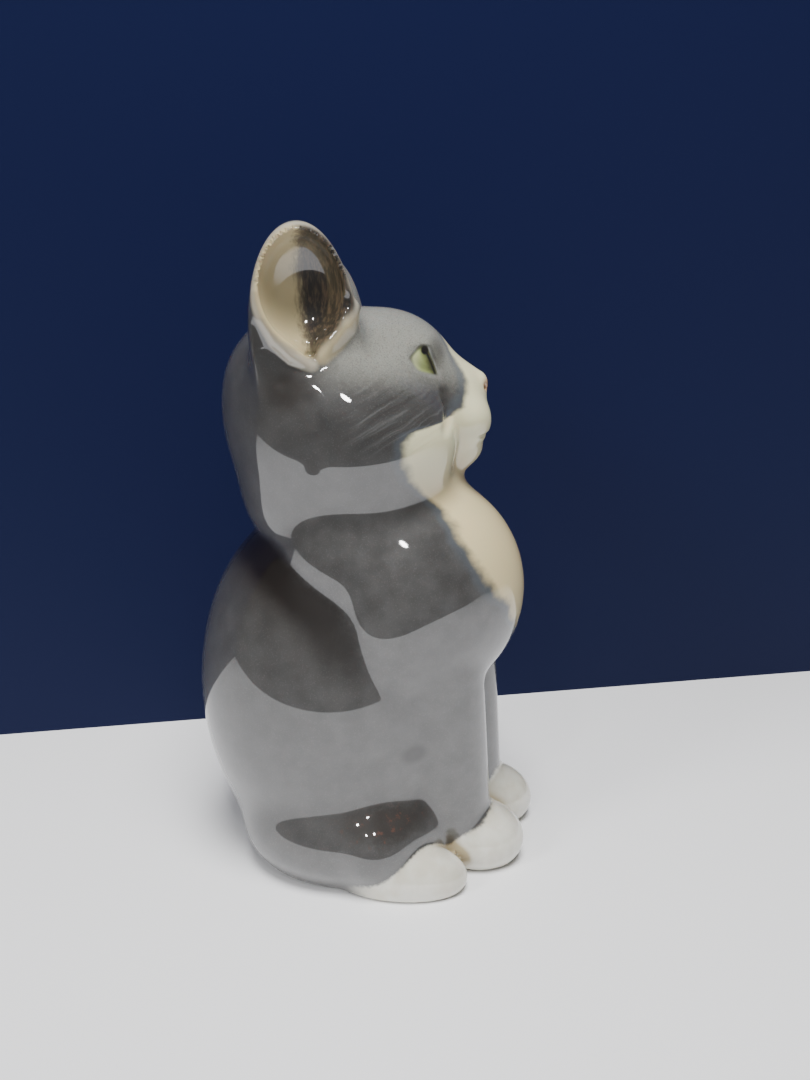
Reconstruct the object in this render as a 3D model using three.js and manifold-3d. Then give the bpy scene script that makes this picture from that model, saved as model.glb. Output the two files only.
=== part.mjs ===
// Seated porcelain cat figurine, hollow cast, in millimetres.
// +X is the way the cat faces, +Y its left, +Z up. The origin is the centre of the footprint, on the table.
//
// The figure is one blend of clay lumps (eggs and limbs). The blend is skinned to a closed surface,
// hollowed by a second skin one wall thickness inside it, and then parted along the luting seams
// where the maker joins the casts.
import * as THREE from "three";
import { mergeVertices } from "three/addons/utils/BufferGeometryUtils.js";
import Module from "manifold-3d";

// ---- Driving dimensions -------------------------------------------------------------------------
const HEIGHT = 180; // table to ear tips
const LENGTH = 103; // rump to front paws
const WIDTH = 92; // right haunch to the tail lying round the left one
const WALL = 3.6; // cast wall
const EAR_HEIGHT = 30; // ear, from its middle in the skull to its tip
const EAR_BREADTH = 14.4; // half of the ear's breadth at its root
const EAR_RIM = 3; // thickness of the ear at its rim
const HEAD_YAW = 8; // degrees that the head looks to the cat's left
const LEFT_PAW_STEP = 2.5; // how far the left foreleg stands ahead of the right one
const TAIL_THICK = 7.5; // radius of the tail at its root
const TAIL_TIP = 4.5; // radius of the tail at its tip
const NECK_SEAM = 105; // height of the seam between body and head
const ELBOW_SEAM = 36; // height of the seam over the forelegs
const BREAST_SEAM = 11.5; // distance forward of the seam behind the forelegs
const LEG_SEAM = 24.5; // distance of each foreleg's outer seam from the middle
const EAR_SEAM = 9; // height of the ear's seam, along the ear from its middle
const FLOOR = 5; // cast floor, with the pour hole in it
const POUR_HOLE_WIDTH = 48; // width of the oval pour hole
const POUR_HOLE_LIP = 1.5; // clay left between it and the seam behind the forelegs
const POUR_HOLE_RIM = 3.5; // clay left between it and the back of the foot
const PLATE_THICK = 3.5; // base plate that closes the pour hole
const PLATE_RECESS = 1.2; // how far the base plate sits above the table
const VENT_RADIUS = 4; // firing vent in the base plate
const SLIP_GAP = 0.3; // clearance of a tilted luting seam and round the base plate
const STUCK_GAP = 0.6; // clearance of a curved seam, under the tail and the hind paws

// The lumps are laid out on a cat of these sizes and stretched to the ones above.
const DRAWN = { length: 103, width: 92, height: 180 };
const STRETCH = [LENGTH / DRAWN.length, WIDTH / DRAWN.width, HEIGHT / DRAWN.height];
const FINEST = Math.min(...STRETCH);

// Grid steps of the skins.
const BODY_STEP = 6.2;
const HEAD_STEP = 4.6;
const LEG_STEP = 4.4;
const EAR_STEP = 2.8;
const BOWL_STEP = 2.6;
const PAW_STEP = 3.8;
const HOLLOW_STEP = 9;

// ---- Clay: signed distances, negative inside ----------------------------------------------------
const AXES = [
  ["yaw", 0, 1],
  ["pitch", 0, 2],
  ["roll", 1, 2],
];

// The point as a lump sees it that stands at a place and is turned by yaw, pitch (nose up) and
// roll, in degrees.
function local(point, at, tilt = {}) {
  const q = [point[0] - at[0], point[1] - at[1], point[2] - at[2]];
  for (const [name, i, j] of AXES) {
    if (!tilt[name]) continue;
    const angle = THREE.MathUtils.degToRad(tilt[name]);
    const [c, s] = [Math.cos(angle), Math.sin(angle)];
    [q[i], q[j]] = [q[i] * c + q[j] * s, q[j] * c - q[i] * s];
  }
  return q;
}

function egg(point, at, radii, tilt) {
  const q = local(point, at, tilt);
  const reach = Math.hypot(q[0] / radii[0], q[1] / radii[1], q[2] / radii[2]);
  const slope = Math.hypot(q[0] / radii[0] ** 2, q[1] / radii[1] ** 2, q[2] / radii[2] ** 2);
  return (reach * (reach - 1)) / Math.max(slope, 1e-9);
}

function limb(point, from, to, fromRadius, toRadius) {
  const along = to.map((v, i) => v - from[i]);
  const q = point.map((v, i) => v - from[i]);
  const length2 = along.reduce((sum, v) => sum + v * v, 0);
  const t = THREE.MathUtils.clamp(q.reduce((sum, v, i) => sum + v * along[i], 0) / length2, 0, 1);
  const off = Math.hypot(...q.map((v, i) => v - t * along[i]));
  return off - (fromRadius + (toRadius - fromRadius) * t);
}

// Union and cut, with a fillet about as wide as blend.
function join(a, b, blend) {
  const h = Math.max(blend - Math.abs(a - b), 0) / blend;
  return Math.min(a, b) - (h * h * h * blend) / 6;
}

const carve = (a, b, blend) => -join(-a, b, blend);
const mirrored = ([x, y, z]) => [x, Math.abs(y), z];
const drawn = (point) => point.map((v, i) => v / STRETCH[i]);

// ---- The cat's forms ----------------------------------------------------------------------------
const EAR_AT = [-15.8, 21, 149.5];
const EAR_TILT = { yaw: -14, roll: -11, pitch: 5 };

function skull(m) {
  let d = egg(m, [-7.5, 0, 130], [34.5, 30, 31], { pitch: 10 });
  d = join(d, egg(m, [-17, 0, 139], [23, 21, 20]), 8); // back of the skull
  d = join(d, egg(m, [-3, 15, 124], [27, 18, 20]), 8); // cheek
  d = join(d, egg(m, [6, 0, 142], [19.5, 17.5, 17.5], { pitch: -30 }), 8); // brow
  d = join(d, egg(m, [19, 0, 131], [15.5, 14, 15]), 7); // muzzle
  d = join(d, egg(m, [26, 5, 129], [8.4, 8, 8]), 3.5); // whisker pad
  d = join(d, limb(m, [16, 0, 144.5], [30.3, 0, 139.6], 5.5, 3.2), 5); // bridge and nose
  return join(d, egg(m, [25, 0, 121.5], [7.5, 7.5, 6.2]), 4); // chin
}

function withEar(m, d) {
  const q = local(m, EAR_AT, EAR_TILT);
  const shell = carve(egg(q, [0, 0, 0], [EAR_BREADTH, 13, EAR_HEIGHT]), 4 - q[1], 3);
  return join(d, shell, 6);
}

// The hollow of the ear, which runs down to a narrow corner beside the cheek.
function earBowl(m) {
  const q = local(m, EAR_AT, EAR_TILT);
  const bowl = egg(q, [0.6, 5.5, EAR_HEIGHT * 0.32], [EAR_BREADTH - EAR_RIM, 10.5, EAR_HEIGHT * 0.6]);
  return join(bowl, limb(q, [1.2, 6, 0], [2.8, 8, -5], 5, 1.8), 4);
}

function trunk(point) {
  const m = mirrored(point);
  let rear = egg(m, [-11.5, 0, 48], [41, 36, 58], { pitch: 2.5 }); // back and rump
  rear = join(rear, egg(m, [-5, 17, 11], [31, 25.5, 16.5]), 8); // haunch
  rear = join(rear, egg(m, [6, 25, 11], [13, 16, 13]), 5); // knee
  let fore = egg(m, [12, 0, 80], [33.5, 33, 34], { pitch: -12 }); // chest
  fore = join(fore, egg(m, [-7, 0, 110], [31, 28, 27]), 12); // neck
  fore = join(fore, egg(m, [-1, 0, 90], [31, 32, 24], { pitch: -38 }), 6); // shoulder blades
  fore = join(fore, egg(m, [10, 15, 72], [18, 19, 27], { pitch: -14 }), 8); // upper arm
  return carve(join(rear, fore, 2.5), egg(m, [11, 37, 37], [6, 5, 4.5]), 6); // hollow behind the elbow
}

function foreleg([x, y, z], side) {
  const m = [x - (side > 0 ? LEFT_PAW_STEP : 0), y * side, z];
  const leg = limb(m, [21, 13, 58], [25.5, 11.7, 16], 13.7, 11.8);
  return join(leg, egg(m, [33, 12, 6.5], [14.5, 11.8, 10.5]), 4);
}

const hindPaw = (point) => egg(mirrored(point), [12, 30, 4], [20, 10, 9]);

const onTable = (d, point) => Math.max(d, -point[2]);

// The point as the head sees it, folded onto the head's left half.
const inHead = (point) => mirrored(local(point, [0, 0, 0], { yaw: HEAD_YAW }));

// The whole cast surface, apart from the hind paws and the tail, which are stuck on.
function cast(point) {
  const m = inHead(point);
  const low = join(trunk(point), foreleg(point, point[1] > 0 ? 1 : -1), 5);
  return onTable(join(low, withEar(m, skull(m)), 10), point);
}

// The trunk with one foreleg, for the cast of that leg.
const castLeg = (side) => (point) => onTable(join(trunk(point), foreleg(point, side), 5), point);

// What is poured out: the trunk, neck and skull, without ears, legs and face, and one wall clear of
// the ears' bowls.
function hollow(point) {
  const m = inHead(point);
  const head = egg(m, [-7.5, 0, 130], [34.5, 30, 31], { pitch: 10 });
  const wall = WALL / FINEST;
  const room = carve(join(trunk(point), head, 10) + wall, earBowl(m) - wall, 2);
  return Math.max(room, FLOOR / STRETCH[2] - point[2]);
}

// The tail lies on the table, from under the rump round the left haunch.
const TAIL_LINE = new THREE.CatmullRomCurve3(
  [
    [-33, 2, 8],
    [-35, 17, 8],
    [-28, 33, 7.4],
    [-14, 41.5, 7],
    [3, 44.5, 6.4],
    [18, 44, 5.2],
  ].map((p) => new THREE.Vector3(...p)),
).getSpacedPoints(14);

function tail(point) {
  const last = TAIL_LINE.length - 1;
  let d = Infinity;
  for (let i = 0; i < last; i++) {
    const [a, b] = [TAIL_LINE[i].toArray(), TAIL_LINE[i + 1].toArray()];
    const thick = (k) => TAIL_THICK + ((TAIL_TIP - TAIL_THICK) * k) / last;
    d = Math.min(d, limb(point, a, b, thick(i), thick(i + 1)));
  }
  return onTable(d, point);
}

// ---- Skinning: one vertex for each grid cell that the surface crosses, moved onto the surface ---
const CORNERS = [0, 1, 2, 3, 4, 5, 6, 7].map((n) => [n & 1, (n >> 1) & 1, n >> 2]);
const SNAP_STEPS = 3;
const PROBE = 0.05;

function snapped(field, start) {
  let p = start;
  for (let n = 0; n < SNAP_STEPS; n++) {
    const slope = [0, 1, 2].map((i) => {
      const [a, b] = [[...p], [...p]];
      a[i] += PROBE;
      b[i] -= PROBE;
      return (field(a) - field(b)) / (2 * PROBE);
    });
    const steep = slope.reduce((sum, v) => sum + v * v, 0);
    if (steep < 1e-6) return p;
    const value = field(p);
    p = p.map((v, i) => v - (value * slope[i]) / steep);
  }
  return Math.hypot(...p.map((v, i) => v - start[i])) < 1.5 ? p : start;
}

function skin(field, low, high, step) {
  // The block from low to high closes whatever would run out of it.
  const shape = (p) =>
    Math.max(field(drawn(p)) * FINEST, ...p.map((v, i) => step / 2 + Math.max(low[i] - v, v - high[i])));
  const count = low.map((v, i) => Math.ceil((high[i] - v) / step) + 1);
  const at = (c) => c.map((v, i) => low[i] + v * step);
  const index = ([i, j, k]) => (i * count[1] + j) * count[2] + k;
  const value = new Float64Array(count[0] * count[1] * count[2]);
  const each = (size, visit) => {
    for (let i = 0; i < size[0]; i++)
      for (let j = 0; j < size[1]; j++) for (let k = 0; k < size[2]; k++) visit([i, j, k]);
  };
  each(count, (c) => (value[index(c)] = shape(at(c))));

  const positions = [];
  const vertexOf = new Map();
  const inCell = count.map((n) => n - 1);
  each(inCell, (cell) => {
    const sum = [0, 0, 0];
    let crossings = 0;
    for (const corner of CORNERS)
      for (let axis = 0; axis < 3; axis++) {
        if (corner[axis]) continue;
        const a = cell.map((v, i) => v + corner[i]);
        const b = a.map((v, i) => v + (i === axis ? 1 : 0));
        const [va, vb] = [value[index(a)], value[index(b)]];
        if (va < 0 === vb < 0) continue;
        a[axis] += va / (va - vb);
        a.forEach((v, i) => (sum[i] += v));
        crossings++;
      }
    if (!crossings) return;
    vertexOf.set(index(cell), positions.length / 3);
    positions.push(...snapped(shape, at(sum.map((v) => v / crossings))));
  });

  const triangles = [];
  each(inCell, (cell) => {
    for (let axis = 0; axis < 3; axis++) {
      const [u, v] = [(axis + 1) % 3, (axis + 2) % 3];
      if (!cell[u] || !cell[v]) continue;
      const next = cell.map((n, i) => n + (i === axis ? 1 : 0));
      const inside = value[index(cell)] < 0;
      if (inside === value[index(next)] < 0) continue;
      const corner = (du, dv) => {
        const c = [...cell];
        c[u] -= du;
        c[v] -= dv;
        return vertexOf.get(index(c));
      };
      const quad = [corner(1, 1), corner(0, 1), corner(0, 0), corner(1, 0)];
      if (!inside) quad.reverse();
      triangles.push(quad[0], quad[1], quad[2], quad[0], quad[2], quad[3]);
    }
  });
  return new THREE.BufferGeometry()
    .setAttribute("position", new THREE.Float32BufferAttribute(positions, 3))
    .setIndex(triangles);
}

// ---- Solids: booleans by manifold-3d ------------------------------------------------------------
const WELD = 1e-3;
const wasm = await Module();
wasm.setup();

function solid(geometry) {
  const bare = geometry.clone();
  bare.deleteAttribute("normal");
  bare.deleteAttribute("uv");
  const merged = mergeVertices(bare, WELD);
  return new wasm.Manifold(
    new wasm.Mesh({
      numProp: 3,
      vertProperties: new Float32Array(merged.attributes.position.array),
      triVerts: new Uint32Array(merged.index.array),
    }),
  );
}

function geometryOf(made) {
  const mesh = made.getMesh();
  const positions = new Float32Array(mesh.numVert * 3);
  for (let i = 0; i < mesh.numVert; i++)
    positions.set(mesh.vertProperties.subarray(i * mesh.numProp, i * mesh.numProp + 3), i * 3);
  const geometry = new THREE.BufferGeometry();
  geometry.setAttribute("position", new THREE.BufferAttribute(positions, 3));
  geometry.setIndex(new THREE.BufferAttribute(new Uint32Array(mesh.triVerts), 1));
  geometry.computeVertexNormals();
  return geometry;
}

// The one body that a cut is made for; slivers beside it, and those that welding closes, are dropped.
const largest = (made) => made.decompose().sort((a, b) => b.volume() - a.volume())[0];
const whole = (made) => largest(solid(geometryOf(made)));

// A box between two corners; far stands for "past the figure".
const FAR = 2 * (HEIGHT + LENGTH + WIDTH);
function block(low, high) {
  const size = high.map((v, i) => v - low[i]);
  const middle = high.map((v, i) => (v + low[i]) / 2);
  return solid(new THREE.BoxGeometry(...size).translate(...middle));
}

// The space above an ear's seam, on that ear's side of the head.
function earSpace(side, lift) {
  const turn = new THREE.Matrix4().makeRotationZ(THREE.MathUtils.degToRad(HEAD_YAW));
  const lean = THREE.MathUtils.degToRad(EAR_TILT.roll * side);
  const tip = new THREE.Matrix4().makeRotationX(lean);
  const place = new THREE.Matrix4().makeTranslation(EAR_AT[0], EAR_AT[1] * side, EAR_AT[2]);
  const reach = EAR_AT[1] - SLIP_GAP;
  const box = new THREE.BoxGeometry(FAR, FAR, FAR);
  box.translate(0, side * (FAR / 2 - reach), FAR / 2 + EAR_SEAM + lift);
  box.applyMatrix4(place.multiply(tip)).applyMatrix4(turn);
  box.scale(...STRETCH);
  return solid(box);
}

// ---- Skins --------------------------------------------------------------------------------------
const MARGIN = 4;
const ROOM = [LENGTH * 0.6, WIDTH * 0.6, HEIGHT + 3 * MARGIN];
const figureLow = [-ROOM[0], -ROOM[1], -MARGIN];
const figureHigh = [ROOM[0], ROOM[1], ROOM[2]];
const neck = NECK_SEAM * STRETCH[2];
const elbow = ELBOW_SEAM * STRETCH[2];
const breast = BREAST_SEAM * STRETCH[0];
const outer = LEG_SEAM * STRETCH[1];

const cavity = solid(skin(hollow, figureLow, figureHigh, HOLLOW_STEP));
const bodySkin = solid(skin(cast, figureLow, figureHigh, BODY_STEP));
const bowlLow = [figureLow[0], figureLow[1], EAR_AT[2] * STRETCH[2] - EAR_HEIGHT];
const bowls = solid(skin((p) => earBowl(inHead(p)), bowlLow, figureHigh, BOWL_STEP));
const headSkin = solid(skin(cast, [figureLow[0], figureLow[1], neck - 3 * MARGIN], figureHigh, HEAD_STEP));
const earLow = [figureLow[0], figureLow[1], EAR_AT[2] * STRETCH[2] - MARGIN];
const earSkin = solid(skin(cast, earLow, figureHigh, EAR_STEP));

const belowNeck = block([-FAR, -FAR, 0], [FAR, FAR, neck]);
const aboveNeck = block([-FAR, -FAR, neck], [FAR, FAR, FAR]);
const legSpace = (side) =>
  side > 0 ? block([breast, 0, -FAR], [FAR, outer, elbow]) : block([breast, -outer, -FAR], [FAR, 0, elbow]);

// Where the trunk meets the table behind the middle.
function footBack() {
  let outside = -DRAWN.length;
  let inside = 0;
  for (let n = 0; n < 40; n++) {
    const x = (outside + inside) / 2;
    if (trunk([x, 0, 0]) > 0) outside = x;
    else inside = x;
  }
  return inside * STRETCH[0];
}

// An oval block on the axis of the pour hole, from one height to another, drawn in by a clearance.
const pourFront = breast - POUR_HOLE_LIP;
const pourBack = footBack() + POUR_HOLE_RIM;
const pourHoleAt = (pourFront + pourBack) / 2;
function pourHole(from, to, clearance) {
  const oval = new THREE.CylinderGeometry(1, 1, to - from, 40).rotateX(Math.PI / 2);
  oval.scale((pourFront - pourBack) / 2 - clearance, POUR_HOLE_WIDTH / 2 - clearance, 1);
  return solid(oval.translate(pourHoleAt, 0, (from + to) / 2));
}

const bodyShell = bodySkin
  .intersect(belowNeck)
  .subtract(cavity)
  .subtract(pourHole(-FLOOR, 2 * FLOOR, 0))
  .subtract(legSpace(1))
  .subtract(legSpace(-1));
const legHigh = [ROOM[0], ROOM[1], elbow + 2 * MARGIN];
const foreLeg = (side) => {
  const clay = solid(skin(castLeg(side), [-MARGIN, -ROOM[1], -MARGIN], legHigh, LEG_STEP));
  return clay.intersect(legSpace(side)).subtract(cavity);
};
const headShell = headSkin
  .intersect(aboveNeck)
  .subtract(cavity)
  .subtract(bowls)
  .subtract(earSpace(1, 0))
  .subtract(earSpace(-1, 0));

// A piece that is stuck on stands clear of what carries it.
const lowHigh = [ROOM[0], ROOM[1] + 10, 60];
const swollen = (field, step) => solid(skin((p) => field(p) - STUCK_GAP / FINEST, figureLow, lowHigh, step));
const swollenCast = [castLeg(1), castLeg(-1)].reduce(
  (clay, field) => clay.add(swollen(field, LEG_STEP)),
  swollen(cast, BODY_STEP),
);
const stuckOn = (field, low, high) => solid(skin(field, low, high, PAW_STEP)).subtract(swollenCast);

const plate = () => {
  const vent = new THREE.CylinderGeometry(VENT_RADIUS, VENT_RADIUS, FAR, 32).rotateX(Math.PI / 2);
  const disc = pourHole(PLATE_RECESS, PLATE_RECESS + PLATE_THICK, SLIP_GAP);
  return disc.subtract(solid(vent.translate(pourHoleAt, 0, 0)));
};

// ---- The figurine -------------------------------------------------------------------------------
const glaze = (color) => new THREE.MeshStandardMaterial({ color, roughness: 0.12, metalness: 0 });
const GREY = 0x85868c;
const WHITE = 0xe9e4d6;
const BISQUE = 0xe3ded2;

const figurine = new THREE.Group();
figurine.name = "ceramic_cat_figurine";

function add(name, made, material) {
  const mesh = new THREE.Mesh(geometryOf(whole(made)), material);
  mesh.name = name;
  figurine.add(mesh);
}

add("body_shell", bodyShell, glaze(GREY));
add("head_shell", headShell, glaze(GREY));
for (const [side, name] of [
  [1, "left"],
  [-1, "right"],
]) {
  add(`${name}_ear`, earSkin.intersect(earSpace(side, SLIP_GAP)).subtract(bowls), glaze(WHITE));
  add(`${name}_foreleg`, foreLeg(side), glaze(GREY));
  const reach = [-30, side > 0 ? 10 : -60, -MARGIN];
  const paw = stuckOn((p) => onTable(hindPaw(p), p), reach, [60, side > 0 ? 60 : -10, 30]);
  add(`${name}_hind_paw`, paw, glaze(WHITE));
}
const tailClay = stuckOn(tail, [-ROOM[0], -20, -MARGIN], [ROOM[0], ROOM[1] + 10, 30]);
add("tail", tailClay.subtract(swollen(hindPaw, PAW_STEP)), glaze(GREY));
const bisque = new THREE.MeshStandardMaterial({ color: BISQUE, roughness: 0.8, metalness: 0 });
add("base_plate", plate(), bisque);

// The origin is the middle of the footprint.
const box = new THREE.Box3().setFromObject(figurine);
const middle = box.getCenter(new THREE.Vector3());
figurine.children.forEach((mesh) => mesh.geometry.translate(-middle.x, -middle.y, -box.min.z));

export default figurine;
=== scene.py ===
import math
from dataclasses import dataclass

import bpy
import numpy as np
from mathutils import Matrix, Vector


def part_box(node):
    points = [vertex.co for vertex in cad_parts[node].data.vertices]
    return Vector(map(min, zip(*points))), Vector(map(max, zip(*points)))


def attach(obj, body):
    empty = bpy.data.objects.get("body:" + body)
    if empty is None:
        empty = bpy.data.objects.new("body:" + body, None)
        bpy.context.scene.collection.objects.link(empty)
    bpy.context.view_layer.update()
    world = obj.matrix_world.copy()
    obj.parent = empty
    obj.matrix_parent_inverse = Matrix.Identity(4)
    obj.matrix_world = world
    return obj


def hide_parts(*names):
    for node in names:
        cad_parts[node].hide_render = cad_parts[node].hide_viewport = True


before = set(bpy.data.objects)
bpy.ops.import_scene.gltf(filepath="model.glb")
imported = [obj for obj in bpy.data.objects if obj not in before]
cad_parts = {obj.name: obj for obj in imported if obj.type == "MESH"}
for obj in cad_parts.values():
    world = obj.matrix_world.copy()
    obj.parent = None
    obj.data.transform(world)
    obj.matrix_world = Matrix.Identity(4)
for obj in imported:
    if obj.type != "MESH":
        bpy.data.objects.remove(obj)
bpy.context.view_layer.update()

bl_info = {
    "name": "Porcelain cat figurine",
    "version": (1, 0, 0),
    "blender": (4, 5, 0),
    "location": "3D View > Sidebar > Porcelain cat",
    "description": "A seated cat, slip-cast in sections, painted under the glaze",
    "category": "Object",
}

MM = 0.001
STAND_INS = ("clay_low", "clay_high", "clay_hollow")

# Seams between the cast sections, in the cat's own frame, in millimetres.
NECK_SEAM = 105.0
ELBOW_SEAM = 36.0
BREAST_SEAM = 11.5
LEG_SEAM = 24.5
EAR_SEAM = 9.0
SEAM_OVERLAP = 4.0
FAR = 300.0

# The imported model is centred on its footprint, so the cat's own frame lies a little off it.
LEG_LOW, LEG_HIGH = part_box("right_foreleg")
SHIFT = np.array([LEG_LOW.x / MM - BREAST_SEAM, LEG_HIGH.y / MM, 0.0])


# ---- Clay: signed distances in millimetres, negative inside, and the blanks worked onto them ----
def turned(yaw=0.0, pitch=0.0, roll=0.0):
    """The 3 x 3 matrix that takes a point into a frame turned by these degrees (pitch is nose up)."""
    made = np.eye(3)
    for angle, (i, j) in ((yaw, (0, 1)), (pitch, (0, 2)), (roll, (1, 2))):
        step = np.eye(3)
        cos, sin = math.cos(math.radians(angle)), math.sin(math.radians(angle))
        step[i, i], step[i, j], step[j, i], step[j, j] = cos, sin, -sin, cos
        made = step @ made
    return made


def joined(a, b, blend):
    """The union of two distances, with a fillet about as wide as blend."""
    if blend <= 0:
        return np.minimum(a, b)
    h = np.maximum(blend - np.abs(a - b), 0) / blend
    return np.minimum(a, b) - h**3 * blend / 6


def carved(a, b, blend):
    """What is left of the first distance without the second, with a fillet."""
    return -joined(-a, b, blend)


def placed(turn, at):
    """The 4 x 4 matrix from a lump's own frame to its parent's."""
    made = Matrix(turn.T.tolist()).to_4x4()
    made.translation = Vector(at)
    return made


@dataclass(frozen=True)
class Egg:
    at: tuple
    radii: tuple
    blend: float = 0.0
    tilt: tuple = (0, 0, 0)
    cut: bool = False

    def distance(self, points):
        q = (points - np.array(self.at, float)) @ turned(*self.tilt).T
        radii = np.array(self.radii, float)
        reach = np.linalg.norm(q / radii, axis=-1)
        slope = np.linalg.norm(q / radii**2, axis=-1)
        return reach * (reach - 1) / np.maximum(slope, 1e-9)

    def blank(self, place):
        return ball(place @ placed(turned(*self.tilt), self.at) @ Matrix.Diagonal((*self.radii, 1)))


@dataclass(frozen=True)
class Limb:
    at: tuple
    to: tuple
    radii: tuple
    blend: float = 0.0
    cut: bool = False

    def distance(self, points):
        start = np.array(self.at, float)
        along = np.array(self.to, float) - start
        t = np.clip((points - start) @ along / (along @ along), 0, 1)
        off = np.linalg.norm(points - start - t[..., None] * along, axis=-1)
        return off - (self.radii[0] + (self.radii[1] - self.radii[0]) * t)

    def blank(self, place):
        start, end = Vector(self.at), Vector(self.to)
        count = max(2, int((end - start).length / (0.6 * min(self.radii))) + 1)
        beads = []
        for n in range(count):
            t = n / (count - 1)
            radius = self.radii[0] + (self.radii[1] - self.radii[0]) * t
            beads.append(ball(place @ Matrix.Translation(start.lerp(end, t)) @ Matrix.Scale(radius, 4)))
        return unified(merged(beads))


@dataclass(frozen=True)
class Form:
    """Lumps added or cut in turn; a paired form has each lump on both sides of the middle."""

    lumps: tuple
    blend: float = 0.0
    at: tuple = (0, 0, 0)
    tilt: tuple = (0, 0, 0)
    paired: bool = False
    cut: bool = False

    def distance(self, points):
        q = (points - np.array(self.at, float)) @ turned(*self.tilt).T
        if self.paired:
            q = np.stack([q[..., 0], np.abs(q[..., 1]), q[..., 2]], -1)
        made = None
        for lump in self.lumps:
            found = lump.distance(q)
            if made is None:
                made = found
            elif lump.cut:
                made = carved(made, found, lump.blend)
            else:
                made = joined(made, found, lump.blend)
        return made

    def blank(self, place):
        here = place @ placed(turned(*self.tilt), self.at)
        sides = [here, here @ Matrix.Diagonal((1, -1, 1, 1))] if self.paired else [here]
        made = None
        for lump in self.lumps:
            part = merged([lump.blank(side) for side in sides])
            if len(sides) > 1 or isinstance(lump, Form):
                part = unified(part)
            if made is None:
                made = part
            elif lump.cut:
                made = cut(unified(made), part, "DIFFERENCE")
            else:
                made = merged([made, part])
        return unified(made)


# ---- The cat's forms ----
HEAD_YAW = 8
LEFT_PAW_STEP = 2.5
EAR_AT = (-15.8, 21, 149.5)
EAR_TILT = (-14, 5, -11)
PLANE = 400.0

EYE_OUTER = np.array((11.0, 16.95, 146.4))
EYE_INNER = np.array((19.9, 13.2, 140.6))
EYE_FACING = np.array((0.52, 0.78, 0.34))


def eye_frame():
    """The eye's middle, and rows: from the inner corner to the outer one, up along the lids, and outward."""
    along = (EYE_OUTER - EYE_INNER) / np.linalg.norm(EYE_OUTER - EYE_INNER)
    out = EYE_FACING - (EYE_FACING @ along) * along
    out /= np.linalg.norm(out)
    return (EYE_OUTER + EYE_INNER) / 2, np.array([along, np.cross(out, along), out])


@dataclass(frozen=True)
class Set:
    """Lumps laid out in the eye's frame."""

    lumps: tuple
    blend: float = 0.0
    cut: bool = False

    def distance(self, points):
        middle, rows = eye_frame()
        return Form(self.lumps).distance((points - middle) @ rows.T)

    def blank(self, place):
        middle, rows = eye_frame()
        return Form(self.lumps).blank(place @ placed(rows, middle))


EAR = Form(
    (
        Egg((0, 0, 0), (14.4, 13, 30)),
        Egg((0, 4 + PLANE, 0), (PLANE, PLANE, PLANE), 3, cut=True),
    ),
    blend=6,
    at=EAR_AT,
    tilt=EAR_TILT,
)
EAR_BOWL = Form(
    (
        Egg((-0.2, 5.5, 14.6), (10.8, 10, 13.6)),
        Limb((2, 6.5, 11), (10.5, 5.5, 10.4), (6, 2.0), 4),
        Limb((-0.8, 5.0, 6), (0.2, 4.6, -1.4), (5.2, 1.5), 3),
    ),
    blend=1.4,
    at=EAR_AT,
    tilt=EAR_TILT,
    cut=True,
)


def bead(points, radii, at=(0, 0, 0), tilt=(0, 0, 0), blend=2.0, cut=False):
    """A round cord of clay through points, with a radius at each."""
    pairs = zip(points, points[1:], radii, radii[1:])
    return Form(tuple(Limb(a, b, (r, t)) for a, b, r, t in pairs), blend, at, tilt, cut=cut)


EAR_RIM_BEAD = bead(
    (
        (-9.5, 1.0, 19),
        (-11.0, 2.6, 14),
        (-10.2, 3.4, 8),
        (-7.4, 3.7, 2.4),
        (-3.8, 4.6, -1.8),
        (0.6, 6.2, -4.8),
    ),
    (0.6, 1.3, 1.9, 2.2, 2.1, 1.5),
    EAR_AT,
    EAR_TILT,
    1.8,
)
EAR_RIDGE = bead(
    ((13.0, 1.2, 8.4), (9.6, 3.2, 4.2), (6.2, 3.9, 0.8), (3.2, 5.2, -2.6)),
    (1.8, 2.4, 2.6, 1.8),
    EAR_AT,
    EAR_TILT,
    2.6,
)
EAR_GROOVE = bead(
    ((-13.2, 4.6, 6), (-12.0, 5.2, 0), (-8.2, 7.6, -7)),
    (1.0, 1.9, 1.4),
    EAR_AT,
    EAR_TILT,
    3.0,
    cut=True,
)
WHISKER_CREASE = bead(
    ((21.3, 14.8, 137.3), (22.5, 16.3, 133.4), (21.4, 23.8, 127.7)),
    (1.3, 1.6, 1.2),
    blend=2.5,
    cut=True,
)
RUFF_CREASE = bead(
    ((-14.5, 32.2, 135.6), (-11.9, 34.3, 128.2), (-14.1, 33.3, 118.5)),
    (1.6, 2.1, 1.5),
    blend=4.0,
    cut=True,
)
MOUTH = bead(
    ((34.5, 0, 126.0), (33.9, 6.0, 125.0), (31.2, 10.0, 124.5)),
    (0.9, 0.9, 0.4),
    blend=1.2,
    cut=True,
)
PHILTRUM = bead(
    ((34.4, 0, 137), (35.0, 0, 131), (34.3, 0, 126.2)),
    (0.7, 0.8, 0.8),
    blend=1.2,
    cut=True,
)


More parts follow.
